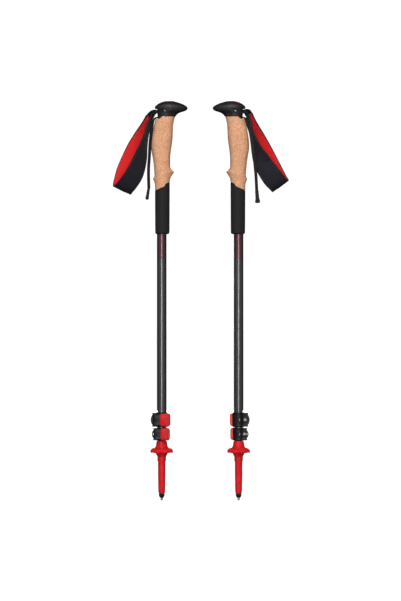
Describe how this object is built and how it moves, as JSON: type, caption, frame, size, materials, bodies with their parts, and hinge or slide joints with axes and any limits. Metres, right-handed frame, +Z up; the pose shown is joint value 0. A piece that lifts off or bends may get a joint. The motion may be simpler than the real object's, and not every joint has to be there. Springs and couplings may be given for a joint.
{
  "type": "trekking pole pair",
  "caption": "Pair of telescoping trekking poles, collapsed upright, with cork grips, foam sleeves, padded wrist straps, cam-lever clamps, small baskets and carbide tips.",
  "frame": {"origin": "centre of the left pole's carbide tip face, at ground level", "axes": "+Z up along the poles, +X from the left pole to the right pole, +Y away from the left pole's lever side"},
  "size_m": [0.3025, 0.0506, 0.6854],
  "materials": {
    "carbide": "ground tungsten carbide",
    "black_plastic": "moulded satin black nylon",
    "red_plastic": "moulded satin red nylon",
    "lower_tube": "grey anodised aluminium",
    "upper_tube": "charcoal lacquered aluminium with a maroon top band",
    "grey_plastic": "acetal",
    "steel": "zinc plated steel",
    "black_steel": "black oxide steel",
    "foam": "closed-cell EVA foam",
    "cork": "moulded granulated cork",
    "knob": "soft satin moulded rubber-plastic",
    "webbing": "woven black polyester webbing",
    "strap_pad": "navy-black knitted neoprene with bound edges",
    "strap_lining": "red brushed mesh lining"
  },
  "bodies": {
    "left_lower_section": {"left_carbide_tip": "carbide", "left_tip_ferrule": "black_plastic", "left_flex_tip": "red_plastic", "left_lower_shaft": "lower_tube", "left_lower_guide_bush": "grey_plastic"},
    "left_snow_basket": {"left_basket": "red_plastic"},
    "left_middle_section": {"left_middle_shaft": "lower_tube", "left_middle_guide_bush": "grey_plastic", "left_lower_clamp_collar": "black_plastic", "left_lower_pivot_pin": "black_steel", "left_lower_tension_screw": "steel"},
    "left_lower_lever": {"left_lower_lever_cam": "black_plastic", "left_lower_lever_cover": "red_plastic"},
    "left_upper_section": {"left_upper_shaft": "upper_tube", "left_upper_clamp_collar": "black_plastic", "left_upper_pivot_pin": "black_steel", "left_upper_tension_screw": "steel", "left_foam_sleeve": "foam", "left_cork_grip": "cork", "left_knob": "knob", "left_knob_inlay": "red_plastic", "left_strap_pin": "steel", "left_strap_anchor": "webbing", "left_strap_wedge": "black_plastic", "left_strap_tail": "webbing"},
    "left_upper_lever": {"left_upper_lever_cam": "black_plastic", "left_upper_lever_cover": "red_plastic"},
    "left_wrist_strap": {"left_strap_webbing": "webbing", "left_strap_pad": "strap_pad", "left_strap_lining": "strap_lining"},
    "right_lower_section": {"right_carbide_tip": "carbide", "right_tip_ferrule": "black_plastic", "right_flex_tip": "red_plastic", "right_lower_shaft": "lower_tube", "right_lower_guide_bush": "grey_plastic"},
    "right_snow_basket": {"right_basket": "red_plastic"},
    "right_middle_section": {"right_middle_shaft": "lower_tube", "right_middle_guide_bush": "grey_plastic", "right_lower_clamp_collar": "black_plastic", "right_lower_pivot_pin": "black_steel", "right_lower_tension_screw": "steel"},
    "right_lower_lever": {"right_lower_lever_cam": "black_plastic", "right_lower_lever_cover": "red_plastic"},
    "right_upper_section": {"right_upper_shaft": "upper_tube", "right_upper_clamp_collar": "black_plastic", "right_upper_pivot_pin": "black_steel", "right_upper_tension_screw": "steel", "right_foam_sleeve": "foam", "right_cork_grip": "cork", "right_knob": "knob", "right_knob_inlay": "red_plastic", "right_strap_pin": "steel", "right_strap_anchor": "webbing", "right_strap_wedge": "black_plastic", "right_strap_tail": "webbing"},
    "right_upper_lever": {"right_upper_lever_cam": "black_plastic", "right_upper_lever_cover": "red_plastic"},
    "right_wrist_strap": {"right_strap_webbing": "webbing", "right_strap_pad": "strap_pad", "right_strap_lining": "strap_lining"}
  },
  "joints": [
    {"name": "left_lower_extend", "type": "slide", "parent": "left_lower_section", "child": "left_middle_section", "axis": [0, 0, 1], "range_m": [0, 0.3575]},
    {"name": "left_upper_extend", "type": "slide", "parent": "left_middle_section", "child": "left_upper_section", "axis": [0, 0, 1], "range_m": [0, 0.3575]},
    {"name": "left_lower_lever_open", "type": "hinge", "parent": "left_middle_section", "child": "left_lower_lever", "pos_m": [-0.0103, -0.0105, 0.11355], "axis": [0, 0, -1], "range_deg": [0, 135]},
    {"name": "left_upper_lever_open", "type": "hinge", "parent": "left_upper_section", "child": "left_upper_lever", "pos_m": [-0.0114, -0.0113, 0.13825], "axis": [0, 0, -1], "range_deg": [0, 135]},
    {"name": "left_strap_swing", "type": "hinge", "parent": "left_upper_section", "child": "left_wrist_strap", "pos_m": [-0.01, 0, 0.6676], "axis": [0, 1, 0], "range_deg": [0, 60]},
    {"name": "left_basket_turn", "type": "hinge", "parent": "left_lower_section", "child": "left_snow_basket", "pos_m": [0, 0, 0.084], "axis": [0, 0, 1], "continuous": true},
    {"name": "right_lower_extend", "type": "slide", "parent": "right_lower_section", "child": "right_middle_section", "axis": [0, 0, 1], "range_m": [0, 0.3575]},
    {"name": "right_upper_extend", "type": "slide", "parent": "right_middle_section", "child": "right_upper_section", "axis": [0, 0, 1], "range_m": [0, 0.3575]},
    {"name": "right_lower_lever_open", "type": "hinge", "parent": "right_middle_section", "child": "right_lower_lever", "pos_m": [0.1423, 0.0105, 0.11355], "axis": [0, 0, -1], "range_deg": [0, 135]},
    {"name": "right_upper_lever_open", "type": "hinge", "parent": "right_upper_section", "child": "right_upper_lever", "pos_m": [0.1434, 0.0113, 0.13825], "axis": [0, 0, -1], "range_deg": [0, 135]},
    {"name": "right_strap_swing", "type": "hinge", "parent": "right_upper_section", "child": "right_wrist_strap", "pos_m": [0.142, 0, 0.6676], "axis": [0, -1, 0], "range_deg": [0, 60]},
    {"name": "right_basket_turn", "type": "hinge", "parent": "right_lower_section", "child": "right_snow_basket", "pos_m": [0.132, 0, 0.084], "axis": [0, 0, 1], "continuous": true},
    {"name": "right_pole_apart", "type": "slide", "parent": "left_lower_section", "child": "right_lower_section", "axis": [1, 0, 0], "range_m": [0, 0.3]}
  ]
}
